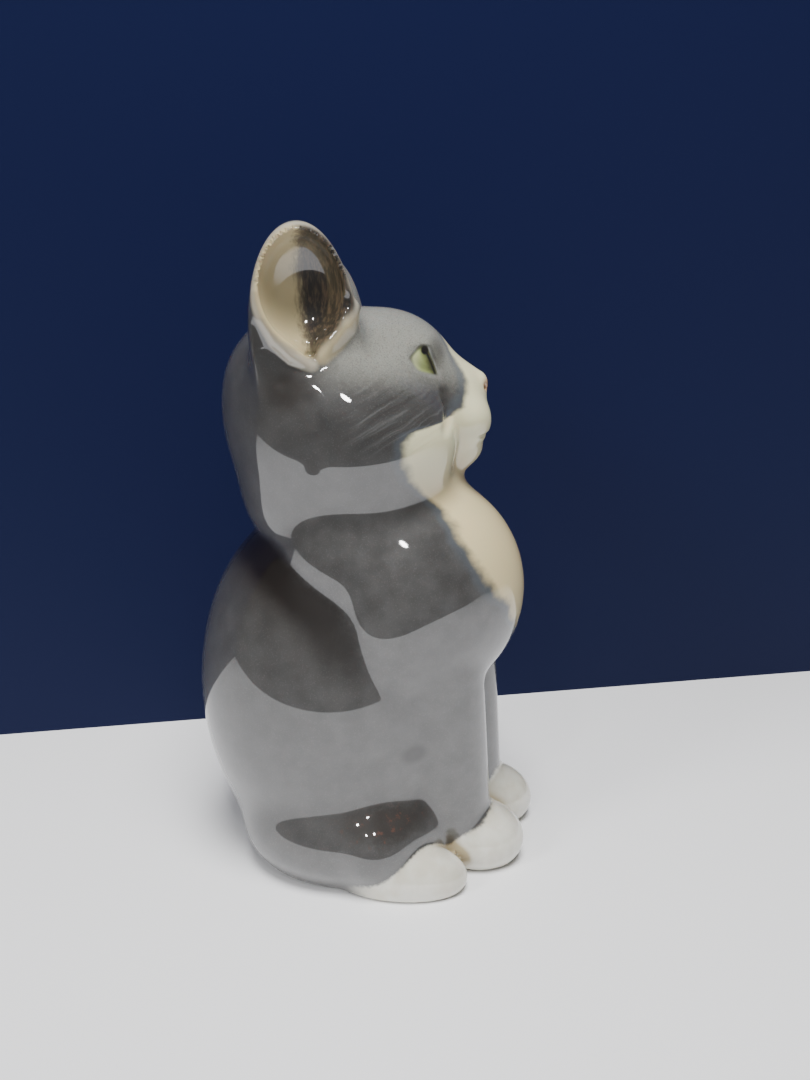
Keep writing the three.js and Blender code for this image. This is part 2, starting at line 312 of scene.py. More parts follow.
HEAD = Form(
    (
        Egg((-12, 0, 130), (30, 29.5, 31), tilt=(0, 10, 0)),  # skull
        Egg((-17, 0, 139), (23, 21, 20), 8),  # back of the skull
        Egg((-3, 15, 124), (27, 18, 20), 8),  # cheek
        Egg((6, 0, 142), (19.5, 17.5, 17.5), 8, tilt=(0, -30, 0)),  # brow
        Egg((19, 0, 131.5), (14.8, 14, 15), 7),  # muzzle
        Egg((26, 5, 129), (8.4, 8, 8), 3.5),  # whisker pad
        Limb((16, 0, 144.5), (30.3, 0, 139.6), (5.5, 3.2), 5),  # bridge and nose
        Egg((25, 0, 121.5), (7.5, 7.5, 6.2), 4),  # chin
        WHISKER_CREASE,
        RUFF_CREASE,
        MOUTH,
        PHILTRUM,
        Egg((32.6, 2.4, 138.2), (1.0, 0.9, 0.8), 0.8, cut=True),  # nostril
        EAR,
        EAR_GROOVE,
        EAR_RIDGE,
        EAR_RIM_BEAD,
        EAR_BOWL,
        Set((Egg((1.0, 1.9, 1.3), (5.8, 3.8, 1.9)),), 1.6, cut=True),  # eye socket
        Set((Egg((1.1, 1.9, -2.2), (5.4, 3.6, 2.7)),), 0.6),  # eyeball
    ),
    blend=10,
    tilt=(HEAD_YAW, 0, 0),
    paired=True,
)
TRUNK = Form(
    (
        Egg((-11.5, 0, 48), (41, 38.4, 58), tilt=(0, 2.5, 0)),  # back and rump
        Egg((-5, 15.5, 11), (31, 24.4, 18), 8),  # haunch
        Egg((6, 25, 11), (13, 16, 13), 5),  # knee
        Form(
            (
                Egg((12, 0, 80), (33.5, 33, 34), tilt=(0, -12, 0)),  # chest
                Egg((-7, 0, 110), (31, 28, 27), 12),  # neck
                Egg((-1, 0, 90), (31, 32, 24), 6, tilt=(0, -38, 0)),  # shoulder blades
                Egg((10, 15, 72), (18, 19, 27), 8, tilt=(0, -14, 0)),  # upper arm
            ),
            blend=2.5,
        ),
        Egg((11, 37, 37), (6, 5, 4.5), 6, cut=True),  # hollow behind the elbow
    ),
    paired=True,
)


def foreleg(side):
    step = LEFT_PAW_STEP if side > 0 else 0
    return Form(
        (
            Limb((21 + step, 13 * side, 58), (25.5 + step, 11.7 * side, 16), (13.7, 11.8)),
            Egg((33 + step, 12 * side, 6.5), (14.5, 11.8, 10.5), 4),
        ),
        blend=5,
    )


def hind_paw(side, grown=0.0):
    return Egg((12, 30 * side, 4), (20 + grown, 10 + grown, 9 + grown), 2)


TAIL_POINTS = (
    (-33, 2, 8),
    (-35, 17, 8),
    (-28, 33, 7.4),
    (-14, 41.5, 7),
    (3, 44.5, 6.4),
    (18, 44, 5.2),
)
TAIL_RADII = (7.5, 4.5)
TAIL_LINKS = 14


def tail_form(grown=0.0):
    """The tail as links along a smooth line through its points."""
    line = []
    radii = []
    last = len(TAIL_POINTS) - 1
    thick, thin = TAIL_RADII
    for n in range(TAIL_LINKS + 1):
        place = n / TAIL_LINKS * last
        i = min(int(place), last - 1)
        t = place - i
        a, b, c, d = (np.array(TAIL_POINTS[min(max(i + k, 0), last)], float) for k in (-1, 0, 1, 2))
        square = (2 * a - 5 * b + 4 * c - d) * t**2
        cube = (3 * b - a - 3 * c + d) * t**3
        line.append(tuple(0.5 * (2 * b + (c - a) * t + square + cube)))
        radii.append(thick + (thin - thick) * n / TAIL_LINKS + grown)
    return bead(line, radii, blend=1.6)


LOW = Form((TRUNK, foreleg(1), foreleg(-1), hind_paw(1), hind_paw(-1), tail_form()))
HIGH = Form((TRUNK, HEAD))
FIGURE = Form((*LOW.lumps, HEAD))
SKULL = Form((HEAD.lumps[0],), blend=10, tilt=(HEAD_YAW, 0, 0))
BOWLS = Form((Form((EAR_BOWL,), paired=True),), tilt=(HEAD_YAW, 0, 0))
WALL = 3.6
FLOOR = 5.0
POUR_HOLE = (40.0, 48.0)
POUR_HOLE_AT = (-10.0, 0.0)
VENT_RADIUS = 4.0
SLIP_GAP = 0.3


def clay(points):
    """The whole figure on its table, with the edge of its foot wiped round."""
    return carved(FIGURE.distance(points), points[..., 2], 1.6)


def hollow(points):
    """The inside of the cast: one wall inside the trunk and the skull, and clear of the ears' bowls."""
    inside = Form((TRUNK, SKULL)).distance(points) + WALL
    return carved(inside, BOWLS.distance(points) - WALL, 2)


def between(distance, low, high):
    return lambda p: np.maximum(distance(p), np.maximum(low - p[..., 2], p[..., 2] - high))


# ---- Bench work: primitives, joins, cuts and the working over of a blank ----
def only(*objects):
    bpy.ops.object.select_all(action="DESELECT")
    for piece in objects:
        piece.select_set(True)
    bpy.context.view_layer.objects.active = objects[0]


def ball(matrix):
    bpy.ops.object.select_all(action="DESELECT")
    bpy.ops.mesh.primitive_uv_sphere_add(segments=32, ring_count=16, radius=1)
    made = bpy.context.object
    made.data.transform(matrix)
    if matrix.to_3x3().determinant() < 0:
        made.data.flip_normals()
    return made


def block(low, high):
    low, high = Vector(low), Vector(high)
    bpy.ops.object.select_all(action="DESELECT")
    bpy.ops.mesh.primitive_cube_add(size=1)
    made = bpy.context.object
    size = high - low
    made.data.transform(Matrix.Translation((low + high) / 2) @ Matrix.Diagonal((*size, 1)))
    return made


def merged(objects):
    if len(objects) > 1:
        only(*objects)
        bpy.ops.object.join()
    return objects[0]


def copied(piece):
    only(piece)
    bpy.ops.object.duplicate()
    return bpy.context.object


def applied(piece, kind, **settings):
    only(piece)
    modifier = piece.modifiers.new(kind.title(), kind)
    for name, value in settings.items():
        setattr(modifier, name, value)
    bpy.ops.object.modifier_apply(modifier=modifier.name)
    return piece


def unified(piece, voxel=1.1):
    return applied(piece, "REMESH", mode="VOXEL", voxel_size=voxel)


def cut(piece, tool, operation):
    applied(piece, "BOOLEAN", object=tool, operation=operation, solver="MANIFOLD")
    if not len(piece.data.polygons):
        raise RuntimeError(f"nothing is left of {piece.name} after a cut")
    bpy.data.objects.remove(tool)
    return piece


def array_of(items, field, width, kind=np.float32):
    """One field of a mesh's vertices, loops or faces, as an array."""
    found = np.empty(len(items) * width, kind)
    items.foreach_get(field, found)
    return found.reshape(-1, width) if width > 1 else found


def points_of(mesh):
    return array_of(mesh.vertices, "co", 3).astype(float)


def outward(distance, points, reach=0.02):
    """The unit normals of a distance's surface."""
    steps = reach * np.eye(3)
    made = np.stack([(distance(points + step) - distance(points - step)) / (2 * reach) for step in steps], -1)
    return made / np.maximum(np.linalg.norm(made, axis=-1, keepdims=True), 1e-9)


def worked(piece, distance, rounds=3, longest=1.5):
    """Moves the piece's points onto the surface where a distance is nought."""
    points = points_of(piece.data)
    for _ in range(rounds):
        value = distance(points)
        grade = np.stack([distance(points + step) - value for step in 0.01 * np.eye(3)], -1) / 0.01
        steep = np.maximum((grade**2).sum(-1), 0.05)
        move = -(value / steep)[:, None] * grade
        length = np.linalg.norm(move, axis=-1, keepdims=True)
        points += move * np.minimum(1, longest / np.maximum(length, 1e-9))
    piece.data.vertices.foreach_set("co", points.astype(np.float32).ravel())
    piece.data.update()
    return piece


def skin(form, distance, low, high, voxel, rounds=2):
    """A form's blank between two corners, remeshed finely and worked onto its surface."""
    made = cut(form.blank(Matrix.Identity(4)), block(low, high), "INTERSECT")
    for _ in range(rounds):
        applied(made, "REMESH", mode="VOXEL", voxel_size=voxel)
        applied(made, "SMOOTH", factor=0.5, iterations=2)
        worked(made, distance)
    return made


def oval(low, high, clearance=0.0):
    """An upright oval block on the axis of the pour hole."""
    bpy.ops.object.select_all(action="DESELECT")
    bpy.ops.mesh.primitive_cylinder_add(vertices=96, radius=1, depth=1)
    made = bpy.context.object
    size = (POUR_HOLE[0] / 2 - clearance, POUR_HOLE[1] / 2 - clearance, high - low, 1)
    made.data.transform(Matrix.Translation((*POUR_HOLE_AT, (low + high) / 2)) @ Matrix.Diagonal(size))
    return made


# ---- The cast, and the tools that part it along its seams ----
def kept(name, make):
    """A shared stand-in that several pieces are cut from, made the first time it is asked for."""
    if name not in bpy.data.objects:
        made = make()
        made.name = name
        made.hide_render = True
    made = copied(bpy.data.objects[name])
    made.hide_render = False
    return made


def low_clay(grain):
    top = NECK_SEAM + SEAM_OVERLAP
    distance = between(clay, -FAR, top)
    return kept("clay_low", lambda: skin(LOW, distance, (-FAR, -FAR, -2), (FAR, FAR, top), grain))


def high_clay(grain):
    foot = NECK_SEAM - SEAM_OVERLAP
    distance = between(clay, foot, FAR)
    return kept("clay_high", lambda: skin(HIGH, distance, (-FAR, -FAR, foot), (FAR, FAR, FAR), grain))


def cavity():
    distance = between(hollow, FLOOR, FAR)
    room = Form((TRUNK, SKULL))
    return kept("clay_hollow", lambda: skin(room, distance, (-FAR, -FAR, FLOOR), (FAR, FAR, FAR), 2.4))


def leg_space(side):
    low, high = sorted((0.0, LEG_SEAM * side))
    return block((BREAST_SEAM, low, -FAR), (FAR, high, ELBOW_SEAM))


def ear_space(side):
    """The room above an ear's seam, square to the ear's lean."""
    reach = EAR_AT[1] - SLIP_GAP
    made = block((-FAR, -reach, EAR_SEAM), (FAR, FAR, FAR))
    lean = placed(turned(roll=EAR_TILT[2]), EAR_AT)
    made.data.transform(placed(turned(HEAD_YAW), (0, 0, 0)) @ Matrix.Diagonal((1, side, 1, 1)) @ lean)
    if side < 0:
        made.data.flip_normals()
    return made


def paw_space(side):
    return unified(hind_paw(side, 0.6).blank(Matrix.Identity(4)), 0.9)


def tail_space():
    return worked(unified(tail_form(0.5).blank(Matrix.Identity(4)), 0.9), tail_form(0.5).distance)


# ---- Finishing a piece: its glaze's own lines, its normals, its place ----
def level(values, low, high):
    return np.clip(values, low, high).astype(np.float32)


def mirrored(points):
    """The points with the left side folded onto the right one."""
    made = points.copy()
    made[:, 1] = np.abs(made[:, 1])
    return made


PAWS = Form((hind_paw(1), hind_paw(-1)))
DIP_REACH = 2.5
ON_CLAY = 0.05
CREASE_ANGLE = math.radians(35)


def lined(mesh, points, normals):
    """Keeps for the paint how far each point lies from the forms that its brushwork and its painted shade
    follow.
    """
    head = mirrored(points @ turned(HEAD_YAW).T)
    body = mirrored(points)
    rear = Form(TRUNK.lumps[:3]).distance(body)
    fore = TRUNK.lumps[3].distance(body)
    lines = {
        "fold_shade": level(rear - fore, -20, 20),
        "paw": level(TRUNK.distance(points) - PAWS.distance(points), -5, 5),
        "bowl": level(EAR_BOWL.distance(head), -5, 5),
        "dip": level(1 - clay(points + DIP_REACH * normals) / DIP_REACH, -1, 1),
        "ridge": level(EAR_RIDGE.distance(head), -5, 5),
        "rim": level(EAR_RIM_BEAD.distance(head), -5, 5),
    }
    for name, values in lines.items():
        mesh.attributes.new(name, "FLOAT", "POINT").data.foreach_set("value", values)


def shaded(mesh, points, normals):
    """Gives the outside the normals of the clay, and leaves the seams and the inside as they are."""
    found = array_of(mesh.corner_normals, "vector", 3).astype(float)
    corners = array_of(mesh.loops, "vertex_index", 1, np.int32)
    faces = array_of(mesh.polygon_normals, "vector", 3)
    flat = np.repeat(faces, array_of(mesh.polygons, "loop_total", 1, np.int32), axis=0)
    smooth = normals[corners]
    outside = (np.abs(clay(points)) < ON_CLAY)[corners] & ((flat * smooth).sum(-1) > 0.6)
    found[outside] = smooth[outside]
    mesh.normals_split_custom_set(found.tolist())


def finished(piece, name, node, slot, material):
    """Smooths, shades and places a piece drawn in millimetres, and has it stand for its node."""
    only(piece)
    mesh = piece.data
    bpy.ops.object.shade_smooth_by_angle(angle=CREASE_ANGLE)
    if slot != "bisque":
        points = points_of(mesh)
        normals = outward(clay, points)
        lined(mesh, points, normals)
        shaded(mesh, points, normals)
    mesh.transform(Matrix.Scale(MM, 4) @ Matrix.Translation(SHIFT))
    piece.name = mesh.name = name
    mesh.materials.clear()
    mesh.materials.append(material)
    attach(piece, "root")
    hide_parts(node)
    return piece


# ---- Paint: shader maths written as Python ----
class Wire:
    """A socket that reads as a number, a vector or a colour in an expression."""

    def __init__(self, paint, socket):
        self.paint = paint
        self.socket = socket

    def maths(self, operation, *terms):
        kind = "ShaderNodeMath" if self.socket.type == "VALUE" else "ShaderNodeVectorMath"
        return self.paint.node(kind, dict(enumerate(terms)), operation=operation)

    def __add__(self, other):
        return self.maths("ADD", self, other)

    def __radd__(self, other):
        return self.maths("ADD", other, self)

    def __sub__(self, other):
        return self.maths("SUBTRACT", self, other)

    def __rsub__(self, other):
        return self.maths("SUBTRACT", other, self)

    def __mul__(self, other):
        return self.maths("MULTIPLY", self, other)

    def __rmul__(self, other):
        return self.maths("MULTIPLY", other, self)

    def __truediv__(self, other):
        return self.maths("DIVIDE", self, other)

    def __abs__(self):
        return self.maths("ABSOLUTE", self)

    def most(self, other):
        return self.maths("MAXIMUM", self, other)


class Paint:
    """A material's node tree."""

    def __init__(self, name):
        self.material = bpy.data.materials.new(name)
        self.material.use_nodes = True
        self.tree = self.material.node_tree
        self.tree.nodes.clear()

    def node(self, kind, inputs, output=0, **settings):
        made = self.tree.nodes.new(kind)
        for name, value in settings.items():
            setattr(made, name, value)
        for name, value in inputs.items():
            if isinstance(value, Wire):
                self.tree.links.new(value.socket, made.inputs[name])
            else:
                made.inputs[name].default_value = value
        return Wire(self, made.outputs[output]) if made.outputs else None

    def where(self):
        """The point in the cat's own frame, in millimetres."""
        found = self.node("ShaderNodeTexCoord", {}, "Object")
        return found * (1000.0, 1000.0, 1000.0) - tuple(SHIFT)

    def parts(self, vector):
        split = self.node("ShaderNodeSeparateXYZ", {0: vector})
        return [Wire(self, split.socket.node.outputs[n]) for n in range(3)]

    def joint(self, x, y, z):
        return self.node("ShaderNodeCombineXYZ", {0: x, 1: y, 2: z})

    def line(self, name):
        return self.node("ShaderNodeAttribute", {}, "Fac", attribute_name=name)

    def ramp(self, value, low, high, first=0.0, last=1.0, smooth=True):
        inputs = {0: value, 1: low, 2: high, 3: first, 4: last}
        kind = "SMOOTHSTEP" if smooth else "LINEAR"
        return self.node("ShaderNodeMapRange", inputs, interpolation_type=kind)

    def along(self, value, stops):
        """A line drawn straight from stop to stop."""
        made = stops[0][1]
        for (x0, y0), (x1, y1) in zip(stops, stops[1:]):
            made = self.ramp(value, x0, x1, 0.0, y1 - y0, smooth=False) + made
        return made

    def mix(self, factor, a, b):
        ends = {6: a, 7: b}
        ends = {n: v if isinstance(v, Wire) else (*v, 1.0) for n, v in ends.items()}
        return self.node("ShaderNodeMix", {0: factor, **ends}, 2, data_type="RGBA")

    def noise(self, vector, scale, detail=2.0, rough=0.5):
        inputs = {"Vector": vector, "Scale": scale, "Detail": detail, "Roughness": rough}
        return self.node("ShaderNodeTexNoise", inputs)

    def length(self, vector):
        return self.node("ShaderNodeVectorMath", {0: vector}, "Value", operation="LENGTH")

    def spot(self, point, at, radii, soft=0.35):
        """One inside an egg and nought outside it."""
        return self.ramp(self.length((point - at) / radii), 1 + soft, 1 - soft)

    def finish(self, surface, **sockets):
        for name, value in sockets.items():
            surface.socket.node.inputs[name.replace("_", " ")].default_value = value
        self.node("ShaderNodeOutputMaterial", {0: surface})
        return self.material


def tint(red, green, blue):
    """A colour given in display numbers up to 255, as light."""
    shares = (v / 255 for v in (red, green, blue))
    return tuple(v / 12.92 if v <= 0.04 else ((v + 0.055) / 1.055) ** 2.4 for v in shares)


DARK_GREY = tint(62, 61, 60)
MID_GREY = tint(80, 79, 78)
# painted light over the top of the head and the forehead
LIT_GREY = tint(150, 150, 141)
CHEEK_GREY = tint(53, 52, 51)
FLECK = tint(62, 61, 60)
# pale flecks in the coat, and the painted highlight along the lower lid
PALE_FLECK_AND_HIGHLIGHT = tint(176, 176, 170)
CREST = tint(160, 162, 160)
UMBER = tint(40, 35, 31)
SEPIA = tint(22, 17, 14)
RUSSET = tint(104, 66, 52)
BLUE_EDGE = tint(84, 92, 100)
MUZZLE = tint(226, 222, 184)
BREAST = tint(218, 202, 156)
WARM = tint(206, 172, 128)
CREAM = tint(204, 200, 184)
PALE_CREAM = tint(220, 218, 206)
OCHRE = tint(168, 150, 110)
EAR_CREAM = tint(206, 190, 148)
EAR_DARK = tint(36, 33, 30)
EAR_BROWN = tint(84, 70, 56)
EAR_RIM = tint(200, 191, 170)
IRIS = tint(140, 150, 96)
IRIS_PALE = tint(168, 172, 134)
EYE_BROWN = tint(46, 38, 26)
EYE_BLACK = tint(24, 22, 20)
NOSE = tint(178, 132, 96)

# Where the white of the face, throat and breast ends, in degrees round from the front, by height.
BIB = (
    (64, 0),
    (70, 8),
    (75, 17),
    (79, 20.5),
    (83, 27),
    (88, 32),
    (94, 35.5),
    (99, 38.5),
    (103, 39.5),
    (106, 43),
    (108.5, 51),
    (110.6, 59),
    (115, 68),
    (120, 71.5),
    (125, 71),
    (127.3, 67),
    (128.8, 58),
    (129.8, 46),
    (131, 34),
    (133, 26.5),
    (136, 23.5),
    (139, 20),
    (143, 16),
    (148, 13.5),
    (152, 9),
    (156, 0),
)

# Where the cream of the front paws ends, by height, from the back of the paw to its front.
HOOF = ((24, -2), (25.8, 3), (27.9, 8), (32.2, 11.2), (35.4, 14.4), (38, 17.5), (44, 21))

# The corners of the painted eye, seen from the side.
LIDS = ((11.3, 146.1), (14.3, 149.6), (16.9, 149.3), (18.9, 141.5), (13.4, 142.9), (11.3, 146.1))


def fur(settings):
    """Grey and white underglaze painting below a clear, glossy glaze, with painted shade and painted
    highlights in it.
    """
    p = Paint("glazed_fur")
    where = p.where()
    x, y, z = p.parts(where)
    cos, sin = math.cos(math.radians(HEAD_YAW)), math.sin(math.radians(HEAD_YAW))
    up = p.ramp(z, 98.0, 112.0)
    hx = x * cos + y * sin
    hy = y * cos - x * sin
    side = abs(hy * up + y * (1.0 - up))
    front = hx * up + x * (1.0 - up)
    face = p.joint(hx, abs(hy), z)
    flank = p.joint(x, abs(y), z)
    wander = p.noise(where, 0.16, 3.0) - 0.5
    fine = p.noise(where, 0.9, 4.0, 0.65) - 0.5
    hairs = p.noise(p.joint(x * 0.5, y * 0.5, z), 1.1, 3.0, 0.6) - 0.5
    speck = p.noise(where, 2.6, 2.0, 0.7)

    # grey coat, airbrushed: darker down the back and under the cheek; the paler forehead is painted light, a
    # broad reflection over the top of the head
    lit_crown = p.ramp(z + fine * 5.0, 134.0, 147.0) * p.ramp(hx + wander * 10.0, -22.0, 2.0)
    coat = p.mix(p.ramp(wander, -0.25, 0.25), DARK_GREY, MID_GREY)
    coat = p.mix(lit_crown * 0.8, coat, LIT_GREY)
    cheek = p.spot(face, (2, 27, 129), (17, 14, 10), 0.5)
    coat = p.mix(cheek * 0.6, coat, CHEEK_GREY)
    stroke = p.spot(face, (8, 25, 131), (15, 14, 9), 0.5)
    brush = p.joint(hx * 0.04 + z * 0.03, abs(hy) * 0.05, z * 0.8 - hx * 0.5 + wander * 2.0)
    streaks = p.noise(brush, 1.0, 2.0)
    coat = p.mix(p.ramp(streaks, 0.52, 0.72) * stroke * 0.16, coat, CREST)
    coat = p.mix(p.ramp(streaks, 0.47, 0.34) * stroke * 0.3, coat, UMBER)
    spine = p.ramp(front, 4.0, -30.0) * 0.45
    coat = p.mix(spine, coat, CHEEK_GREY)
    flecks = p.ramp(speck, 0.53, 0.66) * (0.25 + lit_crown * 0.5)
    coat = p.mix(flecks * 0.6, coat, FLECK)
    pale_flecks = p.ramp(speck, 0.44, 0.34) * (0.2 + lit_crown * 0.6)
    coat = p.mix(pale_flecks * 0.3, coat, PALE_FLECK_AND_HIGHLIGHT)

    # painted shade in the crease behind the shoulder and across the haunch, and a dark spot at the elbow
    fold_shade = p.ramp(abs(p.line("fold_shade") + 3.5 + wander * 4.0 + fine * 2.0), 6.5, 1.5) * p.ramp(z, 50.0, 88.0)
    shade_behind_fold = p.ramp(p.line("fold_shade") + fine * 4.0, 1.0, -5.0) * p.ramp(p.line("fold_shade"), -18.0, -5.0)
    shade_behind_fold = shade_behind_fold * p.ramp(z, 55.0, 95.0)
    coat = p.mix(shade_behind_fold * 0.95, coat, UMBER)
    coat = p.mix(fold_shade * 0.95, coat, SEPIA)
    # painted shade, darkest at the top of the crease
    nape_shade = p.ramp(p.line("fold_shade") + fine * 3.0, -11.0, -2.0) * p.ramp(p.line("fold_shade"), 3.0, 0.0)
    nape_shade = nape_shade * p.ramp(z, 80.0, 99.0)
    coat = p.mix(nape_shade * 0.85, coat, SEPIA)
    # painted shade, a dark band across the haunch, mottled russet
    haunch_shade = p.spot(flank + p.joint(wander * 8.0, 0.0, fine * 5.0), (10, 33, 20.5), (13, 10, 4.2), 0.45)
    coat = p.mix(haunch_shade * 0.7, coat, UMBER)
    haunch_shade_mottle = p.ramp(p.noise(where, 0.45, 3.0, 0.7), 0.55, 0.68) * haunch_shade
    coat = p.mix(haunch_shade_mottle * 0.5, coat, RUSSET)
    elbow = p.spot(flank, (16.6, 28.0, 38.8), (3.0, 12, 2.7), 0.5)
    coat = p.mix(elbow, coat, SEPIA)
    dip = p.ramp(p.line("dip"), 0.05, 0.55)
    coat = p.mix(dip * 0.55, coat, UMBER)
    crest = p.ramp(p.line("dip"), -0.10, -0.45)
    coat = p.mix(crest * 0.45, coat, CREST)

    # white of the muzzle, throat and breast, with a dark, bluish edge where the two colours met
    angle = p.node("ShaderNodeMath", {0: side, 1: front}, operation="ARCTAN2") * math.degrees(1)
    edge = p.along(z, BIB) - angle + wander * 8.0 + hairs * 1.6
    soft = p.ramp(z, 118.0, 134.0, 3.6, 2.6)
    bib = p.ramp(edge / soft, -1.0, 1.0)
    rim = p.ramp(abs(edge + 3.5), 4.5, 0.0) * p.ramp(edge, 1.0, -1.0)
    coat = p.mix(rim * 0.45, coat, BLUE_EDGE)
    white = p.mix(p.ramp(z, 126.0, 104.0), MUZZLE, BREAST)
    warm = p.ramp(side, 9.0, 0.0) * p.ramp(wander + fine, -0.2, 0.3) * 0.35
    white = p.mix(warm, white, WARM)
    white = p.mix(dip * 0.4, white, WARM)
    base = p.mix(bib, coat, white)

    # cream paws
    paws = p.ramp(p.along(x, HOOF) - z + hairs * 3.0, -1.2, 1.2)
    hind = p.ramp(p.line("paw") + fine * 1.2, -0.5, 0.5) * p.ramp(x, -2.0, 8.0)
    paws = paws.most(hind)
    cream = p.mix(p.ramp(wander, -0.2, 0.2), CREAM, PALE_CREAM)
    cream = p.mix(dip * 0.8, cream, OCHRE)
    base = p.mix(paws, base, cream)

    # inside the ears: cream behind, brushed brown-black in front
    ear = face - EAR_AT
    ex, ey, ez = (
        p.node("ShaderNodeVectorMath", {0: ear, 1: tuple(row)}, "Value", operation="DOT_PRODUCT")
        for row in turned(*EAR_TILT)
    )
    inside = p.ramp(p.line("bowl"), 2.4, 0.0) * p.ramp(z, 143.0, 147.0)
    streak = p.noise(p.joint(ex * 1.2, ey * 1.2, ez * 0.22), 1.0, 3.0, 0.6) - 0.5
    split = p.ramp(ex + streak * 4.0 + wander * 3.0, -1.8, 1.8)
    dark = p.mix(p.ramp(streak, -0.1, 0.2), EAR_DARK, EAR_BROWN)
    lining = p.mix(split, EAR_CREAM, dark)
    base = p.mix(inside, base, lining)
    ridge = p.ramp(p.line("ridge"), 1.6, -0.3) * p.ramp(ez, 9.5, 6.0) * (1.0 - inside)
    base = p.mix(ridge * 0.75, base, EAR_CREAM)
    # painted shade in the hollow behind the ear
    shade_behind_ear = p.spot(face, (-19.5, 27, 138), (6.0, 12, 5.0), 0.6) * p.ramp(p.line("ridge"), 1.0, 3.0)
    base = p.mix(shade_behind_ear * 0.7, base, UMBER)
    lip = p.ramp(abs(p.line("bowl") - 1.6), 1.5, 0.2) * p.ramp(ez, 4.0, 9.0)
    lip = lip.most(p.ramp(p.line("rim"), 0.9, -0.2))
    base = p.mix(lip * 0.75 * (1.0 - inside), base, EAR_RIM)

    # eyes
    def half(x0, z0, x1, z1):
        """How far outside the line from one point to the next, with the eye on its right."""
        run = math.hypot(x1 - x0, z1 - z0)
        return (hx - x0) * (-(z1 - z0) / run) + (z - z0) * ((x1 - x0) / run)

    lids = half(*LIDS[0], *LIDS[1])
    for a, b in zip(LIDS[1:], LIDS[2:]):
        lids = lids.maths("SMOOTH_MAX", lids, half(*a, *b), 1.2)
    lids = lids + (1.0 - p.ramp(side, 8.0, 10.0)) * 20.0
    shade = p.spot(face, (18.7, 12, 147.6), (2.2, 9, 4.2), 0.7) * p.ramp(lids, -0.2, 0.6)
    base = p.mix(shade * 0.55, base, UMBER)
    eye = p.ramp(lids, 0.4, -0.4)
    crease = half(15.5, 149.2, 18.6, 141.7)
    iris = p.mix(p.ramp(hx, 12.0, 15.0), IRIS_PALE, IRIS)
    iris = p.mix(p.ramp(crease + fine * 0.8, -2.6, -0.4) * 0.85, iris, EYE_BROWN)
    iris = p.mix(p.ramp(crease, 0.2, 0.8) * 0.8, iris, CREST)
    iris = p.mix(p.ramp(abs(crease + 0.3), 0.45, 0.1) * 0.9, iris, EYE_BLACK)
    pupil = p.length(p.joint(hx - 15.3, 0.0, (z - 148.2) * 0.85))
    iris = p.mix(p.ramp(pupil, 1.25, 0.7), iris, EYE_BLACK)
    base = p.mix(eye, base, iris)
    outline = p.ramp(abs(lids), 0.7, 0.1) * p.ramp(z, 144.0, 146.5)
    base = p.mix(outline * 0.6, base, EYE_BLACK)
    # a painted highlight along the lower lid
    lower_lid_highlight = p.ramp(abs(lids - 0.5), 0.8, 0.1) * p.ramp(z, 143.6, 142.4)
    base = p.mix(lower_lid_highlight * 0.12, base, PALE_FLECK_AND_HIGHLIGHT)

    # nose
    nose = p.spot(face, (33.2, 0, 138.6), (2.6, 3.6, 2.2), 0.4)
    base = p.mix(nose * 0.75, base, NOSE)

    graze = streaks * stroke
    bump = p.node(
        "ShaderNodeBump",
        {"Strength": 0.35, "Distance": 0.0005, "Height": graze + p.noise(where, 0.12, 2.0) * 0.3},
        "Normal",
    )
    surface = p.node("ShaderNodeBsdfPrincipled", {"Base Color": base, "Normal": bump})
    return p.finish(
        surface,
        Roughness=settings.body_roughness,
        IOR=1.5,
        Subsurface_Weight=0.06,
        Subsurface_Scale=0.004,
        Coat_Weight=1.0,
        Coat_Roughness=settings.glaze_roughness,
        Coat_IOR=1.85,
    )


def biscuit():
    """Unglazed clay."""
    p = Paint("bisque_clay")
    grain = p.noise(p.where(), 1.4, 3.0)
    base = p.mix(grain, (0.62, 0.58, 0.50), (0.74, 0.71, 0.64))
    bump = p.node("ShaderNodeBump", {"Strength": 0.3, "Distance": 0.0003, "Height": grain}, "Normal")
    surface = p.node("ShaderNodeBsdfPrincipled", {"Base Color": base, "Normal": bump})
    return p.finish(surface, Roughness=0.85)


def plain(name, colour, roughness):
    p = Paint(name)
    surface = p.node("ShaderNodeBsdfPrincipled", {"Base Color": (*colour, 1.0)})
    return p.finish(surface, Roughness=roughness)


def glaze(settings):
    """The one glaze that the pieces share, made the first time it is asked for."""
    return bpy.data.materials.get("glazed_fur") or fur(settings)


# ---- Add-on ----
class FigurineSettings(bpy.types.PropertyGroup):
    body_grain: bpy.props.FloatProperty(
        name="Body grain",
        description="Spacing of the body's surface points, in millimetres",
        default=0.95,
        min=0.6,
        max=3.0,
    )
    head_grain: bpy.props.FloatProperty(
        name="Head grain",
        description="Spacing of the head's surface points, in millimetres",
        default=0.62,
        min=0.4,
        max=2.0,
    )
    body_roughness: bpy.props.FloatProperty(
        name="Paint roughness",
        description="Roughness of the painting below the glaze",
        default=0.5,
        min=0.0,
        max=1.0,
        subtype="FACTOR",
    )
    glaze_roughness: bpy.props.FloatProperty(
        name="Glaze roughness",
        description="Roughness of the clear glaze",
        default=0.035,
        min=0.0,
        max=1.0,
        subtype="FACTOR",
    )


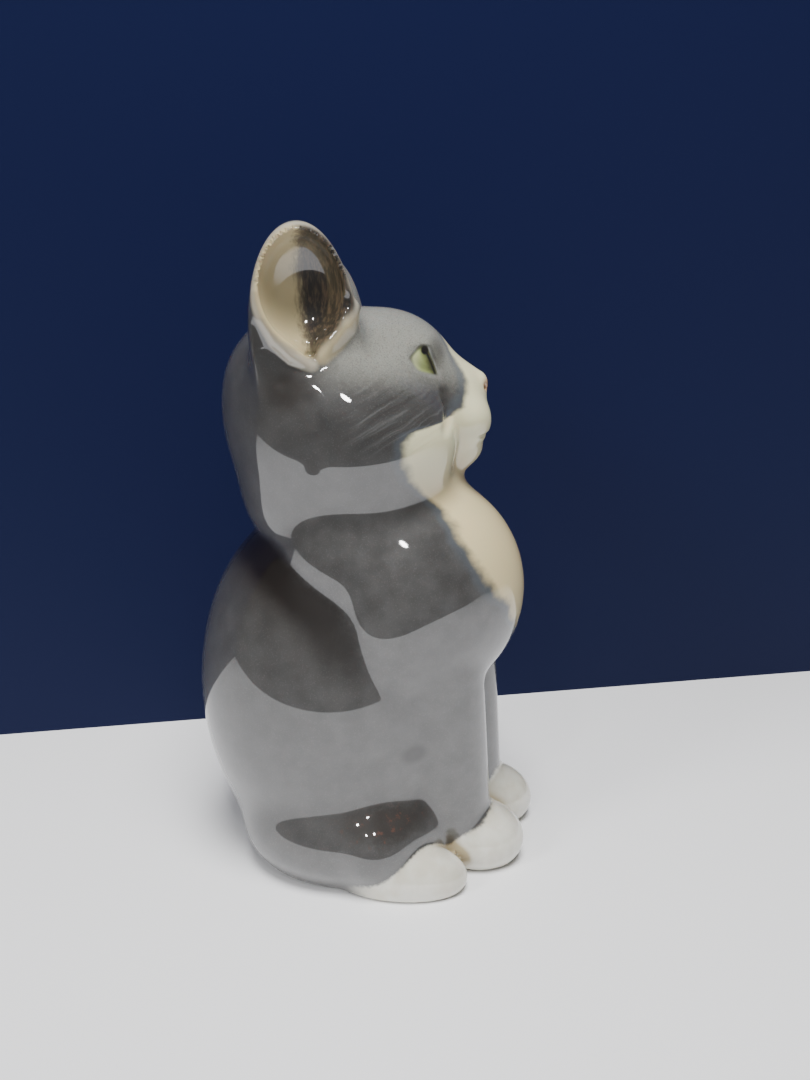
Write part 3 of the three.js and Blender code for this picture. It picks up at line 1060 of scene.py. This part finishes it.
class StageSettings(bpy.types.PropertyGroup):
    lens: bpy.props.FloatProperty(
        name="Lens",
        description="Focal length of the camera, in millimetres",
        default=27.03,
        min=10.0,
        max=200.0,
    )
    camera_height: bpy.props.FloatProperty(
        name="Camera height",
        description="Height of the camera above the table",
        default=0.1436,
        min=0.02,
        max=1.0,
        subtype="DISTANCE",
        unit="LENGTH",
    )
    wall_distance: bpy.props.FloatProperty(
        name="Wall distance",
        description="How far the backdrop stands behind the cat",
        default=0.088,
        min=0.05,
        max=1.0,
        subtype="DISTANCE",
        unit="LENGTH",
    )
    key_power: bpy.props.FloatProperty(
        name="Key light",
        description="Power of the soft light overhead",
        default=9.0,
        min=0.0,
        max=100.0,
        subtype="POWER",
        unit="POWER",
    )
    fill: bpy.props.FloatProperty(
        name="Fill",
        description="Strength of the light from all round",
        default=0.45,
        min=0.0,
        max=5.0,
    )


SIDES = ((1, "left"), (-1, "right"))


class ModelBody(bpy.types.Operator):
    """Model the cast body with its pour hole, from the rump to the neck seam"""

    bl_idname = "figurine.body"
    bl_label = "Body"

    def execute(self, context):
        settings = context.scene.figurine
        below = block((-FAR, -FAR, -FAR), (FAR, FAR, NECK_SEAM))
        made = cut(low_clay(settings.body_grain), below, "INTERSECT")
        tools = [cavity(), oval(-FLOOR, 2 * FLOOR), leg_space(1), leg_space(-1)]
        for tool in (*tools, paw_space(1), paw_space(-1), tail_space()):
            cut(made, tool, "DIFFERENCE")
        finished(made, "body", "body_shell", "grey_glaze", glaze(settings))
        return {"FINISHED"}


class ModelHead(bpy.types.Operator):
    """Model the cast head with its face, above the neck seam"""

    bl_idname = "figurine.head"
    bl_label = "Head"

    def execute(self, context):
        settings = context.scene.figurine
        above = block((-FAR, -FAR, NECK_SEAM), (FAR, FAR, FAR))
        made = cut(high_clay(settings.head_grain), above, "INTERSECT")
        for tool in (cavity(), ear_space(1), ear_space(-1)):
            cut(made, tool, "DIFFERENCE")
        finished(made, "head", "head_shell", "grey_glaze", glaze(settings))
        return {"FINISHED"}


class ModelEars(bpy.types.Operator):
    """Model the two ears, luted onto the head"""

    bl_idname = "figurine.ears"
    bl_label = "Ears"

    def execute(self, context):
        settings = context.scene.figurine
        for side, name in SIDES:
            made = cut(high_clay(settings.head_grain), ear_space(side), "INTERSECT")
            finished(made, name + "_ear_blade", name + "_ear", "grey_glaze", glaze(settings))
        return {"FINISHED"}


class ModelForelegs(bpy.types.Operator):
    """Model the two forelegs with their paws, luted under the chest"""

    bl_idname = "figurine.forelegs"
    bl_label = "Forelegs"

    def execute(self, context):
        settings = context.scene.figurine
        for side, name in SIDES:
            made = cut(low_clay(settings.body_grain), leg_space(side), "INTERSECT")
            cut(made, cavity(), "DIFFERENCE")
            cut(made, paw_space(side), "DIFFERENCE")
            finished(made, name + "_leg", name + "_foreleg", "grey_glaze", glaze(settings))
        return {"FINISHED"}


class ModelHindPaws(bpy.types.Operator):
    """Model the two hind paws, stuck on below the knees"""

    bl_idname = "figurine.hind_paws"
    bl_label = "Hind paws"

    def execute(self, context):
        settings = context.scene.figurine
        for side, name in SIDES:
            made = cut(low_clay(settings.body_grain), paw_space(side), "INTERSECT")
            finished(made, name + "_foot", name + "_hind_paw", "white_glaze", glaze(settings))
        return {"FINISHED"}


class ModelTail(bpy.types.Operator):
    """Model the tail that lies round the left haunch"""

    bl_idname = "figurine.tail"
    bl_label = "Tail"

    def execute(self, context):
        settings = context.scene.figurine
        made = cut(low_clay(settings.body_grain), tail_space(), "INTERSECT")
        cut(made, paw_space(1), "DIFFERENCE")
        finished(made, "tail_roll", "tail", "grey_glaze", glaze(settings))
        return {"FINISHED"}


class ModelBasePlate(bpy.types.Operator):
    """Model the unglazed plate that closes the pour hole"""

    bl_idname = "figurine.base_plate"
    bl_label = "Base plate"

    def execute(self, context):
        low, high = (v.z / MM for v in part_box("base_plate"))
        made = oval(low, high, SLIP_GAP)
        bpy.ops.object.select_all(action="DESELECT")
        middle = (*POUR_HOLE_AT, 0)
        bpy.ops.mesh.primitive_cylinder_add(vertices=64, radius=VENT_RADIUS, depth=40, location=middle)
        vent = bpy.context.object
        bpy.ops.object.transform_apply(location=True, rotation=False, scale=False)
        cut(made, vent, "DIFFERENCE")
        applied(made, "BEVEL", width=0.4, segments=3, limit_method="ANGLE", angle_limit=math.radians(60))
        finished(made, "plate", "base_plate", "bisque", biscuit())
        return {"FINISHED"}


TABLE_SIZE = (2.2, 0.64)
TABLE_FORWARD = 0.08
TABLE_COLOUR = (0.9, 0.9, 0.91)
WALL_SIZE = (2.4, 1.2)
WALL_TURN = math.radians(19)
WALL_COLOUR = tint(10, 19, 54)
ROOM_COLOUR = (0.15, 0.15, 0.155)
CAMERA_AT = (0.0429, -0.2333)
CAMERA_TURN = (math.radians(90 - 12), 0, math.radians(8))
LAMP_SIZE = 0.1  # lights smaller than this show as highlights in the glaze

# Each light's name, place, aim, size and share of the key light's power.
LIGHTS = (
    ("overhead", (0.10, -0.25, 0.95), (0, 0, 0.06), 0.45, 1.6),
    ("side", (-0.70, -0.75, 0.60), (0, 0, 0.08), 0.35, 0.7),
    ("lamp", (0.10, -0.62, 0.80), (0, 0, 0.12), 0.07, 0.12),
    ("far_lamp", (-0.16, -0.70, 0.74), (0, 0, 0.12), 0.05, 0.08),
)


def sheet(name, matrix, material):
    """A flat sheet of the stage."""
    bpy.ops.object.select_all(action="DESELECT")
    bpy.ops.mesh.primitive_plane_add(size=1, location=(0, 0, 0))
    made = bpy.context.object
    made.data.transform(matrix)
    made.name = name
    made.data.materials.append(material)
    return made


class SetStage(bpy.types.Operator):
    """Set the table, the backdrop, the lights and the camera"""

    bl_idname = "figurine.stage"
    bl_label = "Stage"

    def execute(self, context):
        settings = context.scene.figurine_stage
        offset = Vector(SHIFT * MM)
        lie = Matrix.Translation((0, TABLE_FORWARD, 0)) @ Matrix.Diagonal((*TABLE_SIZE, 1, 1))
        upright = Matrix.Rotation(math.radians(90), 4, "X") @ Matrix.Diagonal((*WALL_SIZE, 1, 1))
        stand = Matrix.Translation((0, settings.wall_distance, WALL_SIZE[1] / 2)) @ upright
        table = sheet("table_top", lie, plain("pale_table", TABLE_COLOUR, 0.6))
        stand = Matrix.Rotation(WALL_TURN, 4, "Z") @ stand
        wall = sheet("backdrop", stand, plain("dark_backdrop", WALL_COLOUR, 0.9))
        for name, at, aim, size, power in LIGHTS:
            bpy.ops.object.light_add(type="AREA", location=at)
            light = bpy.context.object
            light.rotation_euler = (Vector(aim) - Vector(at)).to_track_quat("-Z", "Y").to_euler()
            light.name = name
            light.data.shape = "DISK"
            light.data.size = size
            light.visible_glossy = size < LAMP_SIZE
            light.data.energy = power * settings.key_power
        world = bpy.data.worlds.new("room")
        world.use_nodes = True
        context.scene.world = world
        back = world.node_tree.nodes["Background"]
        back.inputs["Color"].default_value = (*ROOM_COLOUR, 1)
        back.inputs["Strength"].default_value = settings.fill
        bpy.ops.object.camera_add(location=Vector((*CAMERA_AT, settings.camera_height)) + offset)
        camera = bpy.context.object
        camera.rotation_euler = CAMERA_TURN
        camera.data.lens = settings.lens
        camera.data.sensor_width = 36
        camera.data.clip_start = 0.01
        context.scene.camera = camera
        return {"FINISHED"}


class FigurinePanel(bpy.types.Panel):
    """Sizes of the figurine and its stage, and a button for each piece"""

    bl_idname = "VIEW3D_PT_figurine"
    bl_label = "Porcelain cat"
    bl_space_type = "VIEW_3D"
    bl_region_type = "UI"
    bl_category = "Porcelain cat"

    def draw(self, context):
        for settings in (context.scene.figurine, context.scene.figurine_stage):
            column = self.layout.column(align=True)
            for name in settings.__annotations__:
                column.prop(settings, name)
        column = self.layout.column()
        for operator in OPERATORS:
            column.operator(operator.bl_idname)


OPERATORS = (
    ModelBody,
    ModelHead,
    ModelEars,
    ModelForelegs,
    ModelHindPaws,
    ModelTail,
    ModelBasePlate,
    SetStage,
)
CLASSES = (FigurineSettings, StageSettings, *OPERATORS, FigurinePanel)


def register():
    for made in CLASSES:
        bpy.utils.register_class(made)
    bpy.types.Scene.figurine = bpy.props.PointerProperty(type=FigurineSettings)
    bpy.types.Scene.figurine_stage = bpy.props.PointerProperty(type=StageSettings)


def unregister():
    del bpy.types.Scene.figurine_stage
    del bpy.types.Scene.figurine
    for made in reversed(CLASSES):
        bpy.utils.unregister_class(made)


def main():
    register()
    bpy.ops.figurine.body()
    bpy.ops.figurine.head()
    bpy.ops.figurine.ears()
    bpy.ops.figurine.forelegs()
    bpy.ops.figurine.hind_paws()
    bpy.ops.figurine.tail()
    bpy.ops.figurine.base_plate()
    for name in STAND_INS:
        bpy.data.objects.remove(bpy.data.objects[name])
    bpy.ops.figurine.stage()


if __name__ == "__main__":
    main()
